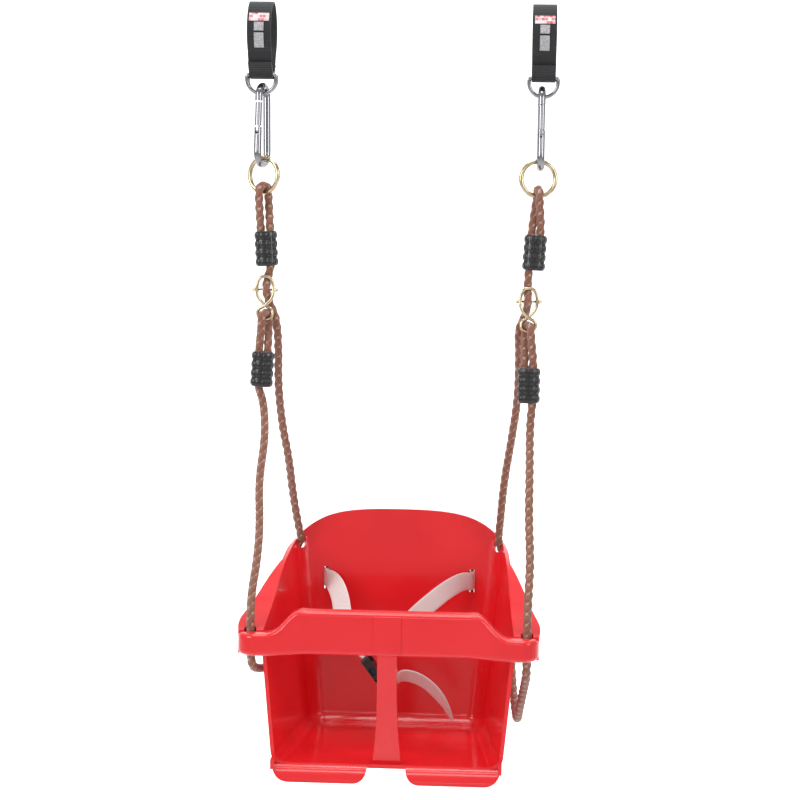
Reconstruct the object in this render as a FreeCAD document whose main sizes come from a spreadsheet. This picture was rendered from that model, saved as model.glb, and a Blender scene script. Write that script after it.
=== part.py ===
import FreeCAD, Part
import math
import os

import Sketcher
from FreeCAD import Placement, Rotation, Vector

# Toddler bucket swing, in millimetres. X runs along the beam, -Y is the front of the seat and Z is up.
# The origin is on the beam's axis, halfway between the two beam straps.

doc = FreeCAD.newDocument("bucket_swing")

SIZES = {
    # beam straps and the D-rings sewn into their ends
    "beam_radius": 30.0,
    "strap_offset": 148.7,
    "strap_width": 25.0,
    "strap_thickness": 1.6,
    "patch_height": 9.0,
    "dring_wire": 4.0,
    "dring_half_width": 15.2,
    "dring_bar_y": 6.0,
    "dring_bar_z": -45.2,
    "dring_bow_y": 2.2,
    "dring_bow_z": -64.8,
    # snap hooks
    "hook_offset": 147.3,
    "hook_rod": 8.0,
    "hook_pivot_z": -68.0,
    "hook_arch_radius": 11.0,
    "hook_bow_radius": 14.0,
    "hook_length": 90.0,
    "gate_rod": 7.2,
    "gate_top": -6.0,
    "gate_pin_drop": -36.0,
    "gate_pin_diameter": 2.5,
    "hook_shoulder_rise": 3.6,
    "gate_foot_rise": 5.3,
    "tongue_slot": 3.4,
    "spring_bore_radius": 1.7,
    # round rings
    "ring_offset": 145.4,
    "ring_wire": 5.0,
    "ring_outer": 41.5,
    # ropes, their ferrules and the beads over them
    "rope_diameter": 9.0,
    "rope_turn_gap": 0.4,
    "rope_hole_clearance": 2.0,
    "strand_offset": 4.7,
    "bead_width": 25.0,
    "bead_depth": 20.0,
    "bead_length": 40.5,
    "bead_round": 4.5,
    "bore_width": 21.0,
    "bore_depth": 12.0,
    "ferrule_wall": 1.0,
    "ferrule_clearance": 0.2,
    "ferrule_length": 22.0,
    # figure-eight rope adjusters
    "adjuster_wire": 3.5,
    "adjuster_y": -3.5,
    "adjuster_loop": 31.25,
    "adjuster_eye": 14.3,
    "adjuster_half_width": 8.75,
    "eye_half_width": 7.6,
    "crossbar_diameter": 2.4,
    "crossbar_bow": 7.8,
    "knob_reach": 3.2,
    "knob_radius": 2.1,
    # moulded seat
    "seat_wall": 4.0,
    "seat_shift": 10.0,
    "floor_z": -757.0,
    "tub_top_z": -510.0,
    "tub_rear_low": 99.0,
    "tub_rear_high": 122.2,
    "tub_front_low": 119.5,
    "tub_front_high": 142.4,
    "tub_back_low": 84.0,
    "tub_back_high": 104.0,
    "tub_front_y": -112.0,
    "tub_corner": 22.0,
    "bar_front_y": -135.0,
    "bar_depth": 20.0,
    "bar_round": 5.0,
    "band_half": 14.5,
    "band_proud": 1.2,
    "band_depth": 3.5,
    "band_margin": 3.0,
    "cheek_depth": 26.0,
    "cheek_margin": 6.0,
    "cheek_lift": 13.0,
    "bar_top_z": -595.0,
    "bar_bottom_z": -639.5,
    "ear_top_z": -619.5,
    "ear_half_width": 157.5,
    "lip_bottom_z": -774.0,
    "lip_front_y": -127.0,
    "post_top_width": 20.0,
    "post_bottom_width": 31.0,
    "slot_offset": 82.0,
    "slot_z": -598.0,
    "slot_height": 25.0,
    "slot_width": 5.0,
    # harness
    "belt_width": 20.0,
    "belt_thickness": 1.6,
    "buckle_width": 27.0,
    "buckle_thickness": 9.0,
    "socket_length": 27.0,
    "plug_length": 15.0,
}

sheet = doc.addObject("Spreadsheet::Sheet", "Sizes")
for row, (name, value) in enumerate(SIZES.items(), start=1):
    sheet.set(f"A{row}", name)
    sheet.set(f"B{row}", str(value))
    sheet.setAlias(f"B{row}", name)
doc.recompute()

sub_parts = []


def size(name):
    return float(sheet.get(name))


def add(obj, label):
    """Give an object its own name and put it on the list of sub-parts."""
    obj.Label = label
    sub_parts.append(obj)
    return obj


def feature(label, shape, placement=None):
    """A sub-part whose shape is worked out here from the sheet's sizes."""
    obj = doc.addObject("Part::Feature", label)
    obj.Shape = shape
    if placement is not None:
        obj.Placement = placement
    return add(obj, label)


def side_name(side):
    return "left" if side < 0 else "right"


# ---- wires and tubes ---------------------------------------------------------------------------


def corner_arc(before, corner, after, reach):
    """The tangent arc at one corner of a route, and its radius; reach is its tangent length."""
    to_before = (before - corner).normalize()
    to_after = (after - corner).normalize()
    half_turn = (math.pi - to_before.getAngle(to_after)) / 2
    radius = reach / math.tan(half_turn)
    start = corner + to_before * reach
    end = corner + to_after * reach
    inward = (to_before + to_after).normalize()
    middle = corner + inward * (radius / math.cos(half_turn) - radius)
    return start, middle, end, radius


def rounded_wire(points, reaches=None, closed=False):
    """Straight runs joined by tangent arcs, each as large as its shorter run allows."""
    points = [Vector(*p) for p in points]
    count = len(points)
    corners = range(count) if closed else range(1, count - 1)
    edges = []
    radii = []
    place = None if closed else points[0]
    first = None
    for i in corners:
        before, corner, after = points[i - 1], points[i], points[(i + 1) % count]
        shorter = min((corner - before).Length, (after - corner).Length)
        reach = reaches[i] if reaches else 0.45 * shorter
        start, middle, end, radius = corner_arc(before, corner, after, reach)
        radii.append(radius)
        if place is not None:
            edges.append(Part.LineSegment(place, start).toShape())
        else:
            first = start
        edges.append(Part.Arc(start, middle, end).toShape())
        place = end
    edges.append(Part.LineSegment(place, first if closed else points[-1]).toShape())
    return Part.Wire(edges), radii


def tube(wire, radius):
    """A round rod along a wire, checked against its section times its length."""
    edge = wire.Edges[0]
    start = edge.valueAt(edge.FirstParameter)
    along = edge.tangentAt(edge.FirstParameter)
    profile = Part.Wire(Part.makeCircle(radius, start, along))
    rod = wire.makePipeShell([profile], True, False)
    if rod.Volume < 0:
        rod.reverse()
    expected = math.pi * radius**2 * wire.Length
    if not rod.isValid() or abs(rod.Volume / expected - 1) > 0.02:
        raise ValueError(f"tube: volume {rod.Volume:.0f}, expected {expected:.0f}")
    return rod


def closed_tube(wire, radius):
    """A rod bent into a closed loop, swept in two halves that meet face to face."""
    half = len(wire.Edges) // 2
    halves = [Part.Wire(wire.Edges[:half]), Part.Wire(wire.Edges[half:])]
    return tube(halves[0], radius).fuse(tube(halves[1], radius))


def cylinder_between(start, end, radius):
    start, end = Vector(*start), Vector(*end)
    return Part.makeCylinder(radius, (end - start).Length, start, end - start)


# ---- PartDesign helpers ------------------------------------------------------------------------


def new_body(label):
    body = doc.addObject("PartDesign::Body", label)
    return add(body, label)


def new_sketch(body, role, name):
    sketch = body.newObject("Sketcher::SketchObject", name)
    plane = [p for p in body.Origin.OriginFeatures if p.Role == role][0]
    sketch.AttachmentSupport = [(plane, "")]
    sketch.MapMode = "FlatFace"
    return sketch


def bind(sketch, index, expression):
    sketch.setExpression(f"Constraints[{index}]", expression)


def add_circle(sketch, radius, x=0.0, y=0.0, across=None):
    """A circle on the sketch's X axis, its radius and offset bound to the sheet."""
    circle = sketch.addGeometry(Part.Circle(Vector(x, y, 0), Vector(0, 0, 1), 1.0))
    bind(sketch, sketch.addConstraint(Sketcher.Constraint("Radius", circle, 1.0)), radius)
    if across:
        offset = Sketcher.Constraint("DistanceX", -1, 1, circle, 3, x)
        bind(sketch, sketch.addConstraint(offset), across)


def add_oval(sketch, width, depth):
    """A slot-shaped outline across X, centred, as wide and as deep as the expressions say."""
    half, radius = 5.0, 3.0
    up, down = Vector(0, radius, 0), Vector(0, -radius, 0)
    right, left = Vector(half, 0, 0), Vector(-half, 0, 0)
    first = sketch.addGeometry(
        [
            Part.LineSegment(left + down, right + down),
            Part.Arc(right + down, right + Vector(radius, 0, 0), right + up),
            Part.LineSegment(right + up, left + up),
            Part.Arc(left + up, left - Vector(radius, 0, 0), left + down),
        ]
    )
    low, end, top, start = first
    sketch.addConstraint(
        [
            Sketcher.Constraint("Tangent", low, 2, end, 1),
            Sketcher.Constraint("Tangent", end, 2, top, 1),
            Sketcher.Constraint("Tangent", top, 2, start, 1),
            Sketcher.Constraint("Tangent", start, 2, low, 1),
            Sketcher.Constraint("Horizontal", low),
            Sketcher.Constraint("Symmetric", end, 3, start, 3, -1, 1),
            Sketcher.Constraint("Equal", end, start),
        ]
    )
    bind(sketch, sketch.addConstraint(Sketcher.Constraint("Radius", end, radius)), f"({depth}) / 2")
    spacing = Sketcher.Constraint("DistanceX", start, 3, end, 3, 2 * half)
    bind(sketch, sketch.addConstraint(spacing), f"({width}) - ({depth})")




def pad(body, sketch, name, length, midplane=True):
    feature_pad = body.newObject("PartDesign::Pad", name)
    feature_pad.Profile = sketch
    feature_pad.Midplane = midplane
    feature_pad.setExpression("Length", length)
    sketch.Visibility = False
    return feature_pad


# ---- beam straps, patches and D-rings ----------------------------------------------------------


def strap_half(front):
    """One hanging half of a strap: over a quarter of the beam, down to the D-ring and back up."""
    thick = size("strap_thickness")
    over = size("beam_radius") + thick / 2
    eye = size("dring_wire") / 2 + 0.3 + thick / 2
    bar = Vector(0, front * size("dring_bar_y"), size("dring_bar_z"))
    # the outer run is tangent to the beam and to the eye round the D-ring's bar, on the same side
    reach = bar.Length
    lean = math.atan2(abs(bar.y), abs(bar.z)) + math.asin((over - eye) / reach)
    out = Vector(0, front * math.cos(lean), -math.sin(lean))
    down = Vector(0, -front * math.sin(lean), -math.cos(lean))
    run_top = out * over
    run_low = bar + out * eye
    half = thick / 2
    outline = [run_top + out * half, run_low + out * half, run_low - out * half, run_top - out * half]
    run = Part.Face(Part.makePolygon(outline + outline[:1]))
    tab_foot = bar + out * (eye - half) - down * 3.2
    tab = [tab_foot, tab_foot - out * thick, tab_foot - out * thick - down * 15, tab_foot - down * 15]
    doubled = Part.Face(Part.makePolygon(tab + tab[:1]))
    ring = Part.Face(Part.Wire(Part.makeCircle(eye + half, bar, Vector(1, 0, 0))))
    hole = Part.Face(Part.Wire(Part.makeCircle(eye - half, bar, Vector(1, 0, 0))))
    return [run, doubled, ring.cut(hole)], lean


def strap_shape():
    """The whole band in side view, as wide as the webbing, centred on X = 0."""
    thick = size("strap_thickness")
    radius = size("beam_radius")
    front_faces, lean = strap_half(-1)
    rear_faces, lean = strap_half(1)
    width = size("strap_width")
    start = Vector(-width / 2, 0, 0)
    along = Vector(width, 0, 0)
    outer = Part.makeCylinder(radius + thick, width, start, Vector(1, 0, 0))
    inner = Part.makeCylinder(radius, width, start, Vector(1, 0, 0))
    wrap = outer.cut(inner)
    low = Vector(0, 0, 0)
    far = 60.0
    left = Vector(0, -far * math.cos(lean), -far * math.sin(lean))
    right = Vector(0, far * math.cos(lean), -far * math.sin(lean))
    below = [low, left, Vector(0, -far, -far), Vector(0, far, -far), right]
    gap = Part.Face(Part.makePolygon(below + below[:1]))
    gap.translate(start)
    wrap = wrap.cut(gap.extrude(along))
    solids = []
    for face in front_faces + rear_faces:
        piece = face.copy()
        piece.translate(start)
        solids.append(piece.extrude(along))
    return wrap.fuse(solids).removeSplitter()


def make_strap(side):
    band = doc.addObject("Part::Feature", side_name(side) + "_strap")
    band.Shape = strap_shape()
    band.Placement = Placement(Vector(side * size("strap_offset"), 0, 0), Rotation())
    band.setExpression("Placement.Base.x", f"{side} * Sizes.strap_offset")
    add(band, side_name(side) + "_beam_strap")


def make_patch(side):
    """The small sewn-on label that lies on the front of the strap, a part of a ring round the beam."""
    outside = size("beam_radius") + size("strap_thickness")
    half_angle = math.degrees(size("patch_height") / 2 / outside)
    patch_width = size("strap_width") - 4
    shape = Part.makeCylinder(outside + 0.6, patch_width, Vector(), Vector(1, 0, 0))
    shape = shape.cut(Part.makeCylinder(outside, patch_width, Vector(), Vector(1, 0, 0)))
    reach = 2 * outside
    # the label sits a little above the middle of the beam's front
    rise = math.radians(24)
    spread = math.radians(half_angle)
    corners = [Vector()]
    for angle in (rise - spread, rise + spread):
        corners.append(Vector(0, -reach * math.cos(angle), reach * math.sin(angle)))
    sector = Part.Face(Part.makePolygon(corners + corners[:1])).extrude(Vector(patch_width, 0, 0))
    shape = shape.common(sector)
    x = side * size("strap_offset") - patch_width / 2
    feature(side_name(side) + "_strap_patch", shape, Placement(Vector(x, 0, 0), Rotation()))


def make_dring(side, front):
    """A D-ring: a straight bar in the strap's eye and a bow that hangs below it."""
    half = size("dring_half_width")
    bar = Vector(0, front * size("dring_bar_y"), size("dring_bar_z"))
    bow = Vector(0, front * size("dring_bow_y"), size("dring_bow_z"))
    drop = bow - bar
    low = drop.Length
    corner = 2.6
    points = [(-half, 0, 0), (half, 0, 0), (half, 0, -low), (-half, 0, -low)]
    bend = half - 0.05
    wire, radii = rounded_wire(points, [corner, corner, bend, bend], closed=True)
    shape = closed_tube(wire, size("dring_wire") / 2)
    tilt = Rotation(Vector(0, 0, -1), drop)
    place = Placement(Vector(side * size("strap_offset"), bar.y, bar.z), tilt)
    where = "front" if front < 0 else "rear"
    feature(f"{side_name(side)}_dring_{where}", shape, place)


# ---- snap hooks --------------------------------------------------------------------------------


def hook_placement(side):
    turn = Rotation(Vector(0, 0, 1), -15 if side < 0 else 0)
    return Placement(Vector(side * size("hook_offset"), 0, size("hook_pivot_z")), turn)


def hook_outline():
    """Heights and half-widths of the hook's centre line, from the middle of its top arch."""
    arch = size("hook_arch_radius")
    bow = size("hook_bow_radius")
    low = arch + size("hook_rod") - size("hook_length")
    return arch, bow, low


def gate_side(z):
    """Where the gate's side of the hook runs at one height."""
    arch, bow, low = hook_outline()
    return -(arch + (bow - arch) * (-z) / (-low - bow))


def make_hook(side):
    arch, bow, low = hook_outline()
    rod = size("hook_rod") / 2
    nose = size("gate_top") + 1.2
    shoulder = size("gate_pin_drop") + size("hook_shoulder_rise")
    points = [
        (0, gate_side(nose), nose),
        (0, -arch, arch),
        (0, arch, arch),
        (0, bow, low),
        (0, -bow, low),
        (0, gate_side(shoulder), shoulder),
    ]
    reaches = [0, arch - 0.05, arch - 0.05, bow - 0.5, bow - 0.5, 0]
    wire, radii = rounded_wire(points, reaches)
    shape = tube(wire, rod)
    # a slot in the top of the lower arm takes the gate's tongue, and a bore under it the spring
    pin = Vector(0, gate_side(size("gate_pin_drop")), size("gate_pin_drop"))
    slot_wide = size("tongue_slot")
    slot = Part.makeBox(slot_wide, 12, 12, pin + Vector(-slot_wide / 2, -6, -4.2))
    shape = shape.cut(slot)
    bore = size("spring_bore_radius")
    spring_bore = Part.makeCylinder(bore, 9, pin + Vector(0, -0.4, -13), Vector(0, 0, 1))
    shape = shape.cut(spring_bore)
    pin_hole = Part.makeCylinder(size("gate_pin_diameter") / 2, 12, pin - Vector(6, 0, 0), Vector(1, 0, 0))
    shape = shape.cut(pin_hole)
    feature(side_name(side) + "_hook_body", shape, hook_placement(side))


def make_gate(side):
    """The sprung gate: a rod from the hook's nose down to the slot, where its tongue is pinned."""
    radius = size("gate_rod") / 2
    top = size("gate_top") - 0.3
    pin_z = size("gate_pin_drop")
    foot_z = pin_z + size("gate_foot_rise")
    pin = Vector(0, gate_side(pin_z), pin_z)
    rod = cylinder_between((0, gate_side(foot_z), foot_z), (0, gate_side(top), top), radius)
    tongue = Part.makeBox(2.8, 5.6, 5.6, pin + Vector(-1.4, -2.8, 0))
    tongue = tongue.fuse(Part.makeCylinder(2.8, 2.8, pin - Vector(1.4, 0, 0), Vector(1, 0, 0)))
    clearance = 0.03
    hole = Part.makeCylinder(
        size("gate_pin_diameter") / 2 + clearance, 8, pin - Vector(4, 0, 0), Vector(1, 0, 0)
    )
    shape = rod.fuse(tongue).cut(hole).removeSplitter()
    feature(side_name(side) + "_gate", shape, hook_placement(side))


def make_gate_pin(side):
    pin_z = size("gate_pin_drop")
    rod = size("hook_rod")
    pin = doc.addObject("Part::Cylinder", side_name(side) + "_pin")
    pin.setExpression("Radius", "Sizes.gate_pin_diameter / 2")
    pin.Height = rod - 0.6
    own = Placement(Vector(-pin.Height.Value / 2, gate_side(pin_z), pin_z), Rotation(Vector(0, 1, 0), 90))
    pin.Placement = hook_placement(side).multiply(own)
    add(pin, side_name(side) + "_gate_pin")


def make_gate_spring(side):
    """The small coil under the gate's tongue, as a closed sleeve of its outer shape."""
    pin_z = size("gate_pin_drop")
    spring = doc.addObject("Part::Cylinder", side_name(side) + "_spring")
    spring.Radius = 1.4
    spring.Height = 8.0
    own = Placement(Vector(0, gate_side(pin_z) - 0.4, pin_z - 12.4), Rotation())
    spring.Placement = hook_placement(side).multiply(own)
    add(spring, side_name(side) + "_gate_spring")


# ---- round rings -------------------------------------------------------------------------------


def ring_radius():
    return (size("ring_outer") - size("ring_wire")) / 2


def ring_centre_z():
    arch, bow, low = hook_outline()
    inside = size("hook_pivot_z") + low + size("hook_rod") / 2
    return inside + 0.5 + size("ring_wire") / 2 - ring_radius()


def make_ring(side):
    """A welded ring, revolved about its own axis and turned a little in the hook's bow."""
    body = new_body(side_name(side) + "_ring")
    sketch = new_sketch(body, "XZ_Plane", side_name(side) + "_ring_section")
    across = "(Sizes.ring_outer - Sizes.ring_wire) / 2"
    add_circle(sketch, "Sizes.ring_wire / 2", x=18.0, across=across)
    turned = body.newObject("PartDesign::Revolution", side_name(side) + "_ring_turned")
    turned.Profile = sketch
    turned.ReferenceAxis = (sketch, ["V_Axis"])
    turned.Angle = 360.0
    turn = -30 if side < 0 else 10
    stand = Rotation(Vector(0, 0, 1), turn).multiply(Rotation(Vector(1, 0, 0), 90))
    body.Placement = Placement(Vector(side * size("ring_offset"), 0, ring_centre_z()), stand)


# ---- beads and ferrules ------------------------------------------------------------------------

# centre and lean of each bead: the lean is about Y, in degrees
BEADS = {
    (-1, "upper"): (Vector(-142.0, 0.0, -228.0), -3.3),
    (-1, "lower"): (Vector(-144.3, -6.0, -356.2), 3.0),
    (1, "upper"): (Vector(143.1, 0.0, -228.0), 3.3),
    (1, "lower"): (Vector(139.6, -6.0, -368.3), 0.0),
}


def bead_placement(side, level):
    centre, lean = BEADS[side, level]
    return Placement(centre, Rotation(Vector(0, 1, 0), lean))


def in_bead(side, level, across, along):
    """A point in a bead: across its width, positive outwards from the swing's middle, and up it."""
    place = bead_placement(side, level)
    point = place.multVec(Vector(side * across, 0, along))
    return (point.x, point.y, point.z)


def make_bead(side, level):
    name = f"{side_name(side)}_{level}_bead"
    body = new_body(name)
    outline = new_sketch(body, "XY_Plane", name + "_outline")
    oval = Part.Ellipse(Vector(), size("bead_width") / 2, size("bead_depth") / 2)
    outline.addGeometry(oval)
    block = pad(body, outline, name + "_block", "Sizes.bead_length")
    doc.recompute()
    rounded = body.newObject("PartDesign::Fillet", name + "_rounded")
    rounded.Base = (block, [f"Edge{i + 1}" for i, e in enumerate(block.Shape.Edges) if e.isClosed()])
    rounded.setExpression("Radius", "Sizes.bead_round")
    bore_sketch = new_sketch(body, "XY_Plane", name + "_bore_outline")
    add_oval(bore_sketch, "Sizes.bore_width", "Sizes.bore_depth")
    bore = body.newObject("PartDesign::Pocket", name + "_bore")
    bore.Profile = bore_sketch
    bore.Type = 1
    bore.Midplane = True
    body.Placement = bead_placement(side, level)
    doc.recompute()
    if body.Shape.Volume > 0.9 * block.Shape.Volume:
        raise ValueError(name + ": its bore cut nothing")


def make_ferrule(side, level):
    """The ferrule inside a bead that clamps the two strands of a rope's end loop."""
    name = f"{side_name(side)}_{level}_ferrule"
    body = new_body(name)
    section = new_sketch(body, "XY_Plane", name + "_section")
    outer_width = "Sizes.bore_width - Sizes.ferrule_clearance"
    outer_depth = "Sizes.bore_depth - Sizes.ferrule_clearance"
    add_oval(section, outer_width, outer_depth)
    add_oval(section, outer_width + " - 2 * Sizes.ferrule_wall", outer_depth + " - 2 * Sizes.ferrule_wall")
    pad(body, section, name + "_sleeve", "Sizes.ferrule_length")
    body.Placement = bead_placement(side, level)


# ---- figure-eight adjusters --------------------------------------------------------------------

# middle of the top wire of each adjuster
ADJUSTERS = {-1: Vector(-142.4, 0.0, -257.7), 1: Vector(138.0, 0.0, -265.7)}


def make_adjuster(side):
    """A rod bent into an eight whose two arms pass each other, with a bar across its long loop."""
    top = ADJUSTERS[side]
    y = size("adjuster_y")
    half = size("adjuster_half_width")
    eye_half = size("eye_half_width")
    loop = size("adjuster_loop")
    eye = size("adjuster_eye")
    apart = size("adjuster_wire") / 2 + 0.2
    points = [
        (0.6 * half, 0, 0),
        (half, 0, -0.25 * loop),
        (half, -0.3 * apart, -0.7 * loop),
        (0, -apart, -loop),
        (-eye_half, -0.5 * apart, -loop - 0.25 * eye),
        (-eye_half, 0, -loop - 0.8 * eye),
        (-0.35 * eye_half, 0, -loop - eye),
        (0.35 * eye_half, 0, -loop - eye),
        (eye_half, 0, -loop - 0.8 * eye),
        (eye_half, 0.5 * apart, -loop - 0.25 * eye),
        (0, apart, -loop),
        (-half, 0.3 * apart, -0.7 * loop),
        (-half, 0, -0.25 * loop),
        (-0.6 * half, 0, 0),
    ]
    points = [(-side * x, py, z) for x, py, z in points]
    wire, radii = rounded_wire(points, closed=True)
    shape = closed_tube(wire, size("adjuster_wire") / 2)
    # the crossbar bows back behind the rope and ends in a small ball at each side of the loop
    bar_z = -0.45 * loop
    knob = half + size("knob_reach")
    bow = size("crossbar_bow")
    bowed = [(-knob, 0.4, bar_z), (-half + 1, bow, bar_z), (half - 1, bow, bar_z), (knob, 0.4, bar_z)]
    bar_wire, radii = rounded_wire(bowed, [0, 2.5, 2.5, 0])
    shape = shape.fuse(tube(bar_wire, size("crossbar_diameter") / 2))
    for end in (bowed[0], bowed[3]):
        shape = shape.fuse(Part.makeSphere(size("knob_radius"), Vector(*end)))
    place = Placement(Vector(top.x, y, top.z), Rotation())
    feature(side_name(side) + "_adjuster", shape, place)


# ---- ropes -------------------------------------------------------------------------------------


def ring_loop(side, level_z, spread):
    """The tight turn of the rope over the bottom of its ring, outer strand in front."""
    reach = size("ring_wire") / 2 + size("rope_diameter") / 2 + spread
    turn = math.radians(30 if side < 0 else 10)
    x = side * size("ring_offset")
    out = (side * math.sin(turn) * reach, -math.cos(turn) * reach)
    return (x + out[0], out[1], level_z), (x - out[0], -out[1], level_z)


def rope_route(side):
    """The whole rope of one side, from its end in the upper bead to its end in the lower bead."""
    adjuster = ADJUSTERS[side]
    bottom_wire = ring_centre_z() - ring_radius()
    turn_gap = size("rope_turn_gap")
    ring_top = bottom_wire + size("ring_wire") / 2 + size("rope_diameter") / 2 + turn_gap
    # the strands lie close over the ring's wire and a little further apart below it
    front_high, back_high = ring_loop(side, ring_top, spread=0.7)
    front_low, back_low = ring_loop(side, ring_top - 14, spread=1.6)
    strand = size("strand_offset")
    start = [
        in_bead(side, "upper", strand, -9),
        in_bead(side, "upper", strand + 0.3, 26),
        front_low,
        front_high,
        back_high,
        back_low,
        in_bead(side, "upper", -strand - 0.3, 26),
        in_bead(side, "upper", -strand, -17),
    ]
    ax, az = adjuster.x, adjuster.z
    inward = -side
    weave = [
        (ax + inward * 1.6, 4.9, az - 1.5),
        (ax + inward * 0.5, -5.2, az - 14.3),
        (ax + inward * 4.0, 10.8, az - 31.0),
        (ax + inward * 10.5, 11.0, az - 44.0),
    ]
    shift = Vector(0, size("seat_shift"), 0)
    seat_run = [tuple(Vector(*p) + shift) for p in SEAT_RUNS[side]]
    eye_wire = az - size("adjuster_loop") - size("adjuster_eye")
    eye_top = eye_wire + size("adjuster_wire") / 2 + size("rope_diameter") / 2 + turn_gap
    y = size("adjuster_y")
    eye_x = ax + inward * 0.3
    # the rope crosses the eye's wire askew, its outer strand in front
    askew = Vector(3.2, 6.7, 0)
    outer = (eye_x - inward * askew.x, y - askew.y)
    inner = (eye_x + inward * askew.x, y + askew.y)
    finish = [
        in_bead(side, "lower", strand, -17),
        in_bead(side, "lower", strand, 25),
        (outer[0], outer[1], eye_wire - 6),
        (outer[0], outer[1], eye_top),
        (inner[0], inner[1], eye_top),
        (inner[0], inner[1], eye_wire - 6),
        in_bead(side, "lower", -strand, 25),
        in_bead(side, "lower", -strand, -9),
    ]
    return start + weave + seat_run + finish


# from below the adjuster: down to the rear hole, through it, under the side, up the ear and back up
REAR_HOLE = {-1: 6, 1: 5}
SEAT_RUNS = {
    -1: [
        (-130.0, 9.5, -330.0),
        (-130.4, 13.0, -376.0),
        (-127.5, 31.0, -420.0),
        (-121.5, 48.5, -458.0),
        (-118.5, 66.0, -500.0),
        (-113.5, 82.5, -538.0),
        (-110.0, 88.0, -554.0),
        (-117.5, 99.0, -567.0),
        (-121.5, 104.0, -588.0),
        (-123.0, 92.0, -622.0),
        (-124.0, 56.0, -655.0),
        (-126.5, 0.0, -672.0),
        (-133.0, -50.0, -672.0),
        (-139.0, -92.0, -664.0),
        (-142.0, -112.5, -654.0),
        (-142.3, -115.0, -609.0),
        (-143.2, -103.0, -584.0),
        (-139.5, -82.5, -549.0),
        (-139.5, -64.0, -516.0),
        (-143.5, -45.5, -472.0),
        (-139.0, -27.0, -429.0),
        (-143.0, -9.5, -392.0),
    ],
    1: [
        (129.0, 12.0, -332.0),
        (129.0, 16.5, -384.0),
        (122.5, 37.0, -434.0),
        (115.5, 58.5, -481.0),
        (112.5, 78.0, -526.0),
        (110.0, 88.0, -554.0),
        (117.5, 99.0, -567.0),
        (122.0, 105.0, -592.0),
        (124.5, 98.0, -630.0),
        (127.0, 74.0, -676.0),
        (131.0, 34.0, -718.0),
        (134.5, -10.0, -733.0),
        (136.5, -44.0, -712.0),
        (140.5, -78.0, -681.0),
        (143.0, -110.5, -658.0),
        (142.2, -115.0, -609.0),
        (142.8, -103.0, -584.0),
        (144.6, -80.0, -546.0),
        (142.2, -58.0, -506.0),
        (142.4, -34.0, -456.0),
        (141.8, -12.0, -412.0),
    ],
}


def make_rope(side):
    route = rope_route(side)
    wire, radii = rounded_wire(route)
    shape = tube(wire, size("rope_diameter") / 2)
    name = side_name(side) + "_rope"
    tight = ", ".join(f"{r:.0f}" for r in radii)
    print(f"{name}: length {wire.Length:.0f} mm, bend radii {tight}")
    feature(name, shape)
    return wire


# ---- moulded seat ------------------------------------------------------------------------------


def draft(low, high, z):
    """A size of the tub that grows evenly from the floor up to the top."""
    share = (z - size("floor_z")) / (size("tub_top_z") - size("floor_z"))
    return size(low) + (size(high) - size(low)) * share


def tub_section(z, inset):
    """The tub's outline at one height: two straight sides, a straight back and round corners."""
    rear = draft("tub_rear_low", "tub_rear_high", z) - inset
    front = draft("tub_front_low", "tub_front_high", z) - inset
    back = draft("tub_back_low", "tub_back_high", z) - inset
    front_y = size("tub_front_y")
    corner = size("tub_corner") - inset
    if inset:
        front_y -= 10.0
    slope = (front - rear) / (back - size("tub_front_y"))
    front = front + slope * (size("tub_front_y") - front_y)
    points = [(-front, front_y, z), (-rear, back, z), (rear, back, z), (front, front_y, z)]
    wire, radii = rounded_wire(points, [corner] * 4)
    return Part.Wire(wire.Edges + [Part.makeLine(points[3], points[0])])


def side_profile():
    """The rim in side view, from the front ear up to the back's corner, as a smooth curve."""
    ear = size("ear_top_z")
    points = [
        (-150, ear - 1.0),
        (-122, ear),
        (-96, -611.5),
        (-60, -599.0),
        (-20, -581.0),
        (20, -566.5),
        (60, -557.0),
        (96, -551.5),
    ]
    curve = Part.BSplineCurve()
    curve.interpolate([Vector(0, y, z) for y, z in points])
    return curve, points


def back_profile():
    """The rim in front view: a flat-topped arch over the back, down to both corners."""
    points = [(-135, -574.0), (-113, -549.0), (-87, -530.5), (-48, -521.0), (0, -519.3)]
    points += [(-x, z) for x, z in reversed(points[:-1])]
    curve = Part.BSplineCurve()
    curve.interpolate([Vector(x, 0, z) for x, z in points])
    return curve, points


def profile_face(curve, corners):
    """A face between a rim curve and a polygon that closes it, given from its end to its start."""
    edge = curve.toShape()
    ends = [curve.EndPoint] + [Vector(*c) for c in corners] + [curve.StartPoint]
    return Part.Face(Part.Wire([edge] + Part.makePolygon(ends).Edges))


def tub_shape():
    wall = size("seat_wall")
    top = size("tub_top_z")
    floor = size("floor_z")
    outer = Part.makeLoft([tub_section(floor - wall, 0), tub_section(top, 0)], True, True)
    inner = Part.makeLoft([tub_section(floor, wall), tub_section(top + 1, wall)], True, True)
    foot = [
        e
        for e in outer.Edges
        if abs(e.BoundBox.ZMax - floor + wall) < 0.01 and e.BoundBox.YMax > size("tub_front_y") + 1
    ]
    outer = outer.makeFillet(16.0, foot)
    inside_foot = [
        e
        for e in inner.Edges
        if abs(e.BoundBox.ZMax - floor) < 0.01 and e.BoundBox.YMax > size("tub_front_y") - 9
    ]
    inner = inner.makeFillet(12.0, inside_foot)
    curve, points = back_profile()
    x, z = points[-1]
    away = profile_face(curve, [(x, 0, top + 20), (-x, 0, top + 20)])
    away.translate(Vector(0, -200, 0))
    return outer.cut(inner).cut(away.extrude(Vector(0, 400, 0)))


def above_sides():
    """The space over both sides' sloping top edge, which trims the tub and its flanges together."""
    top = size("tub_top_z") + 20
    curve, points = side_profile()
    away = profile_face(curve, [(0, points[-1][0], top), (0, points[0][0], top)])
    away.translate(Vector(-200, 0, 0))
    return away.extrude(Vector(400, 0, 0))


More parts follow.
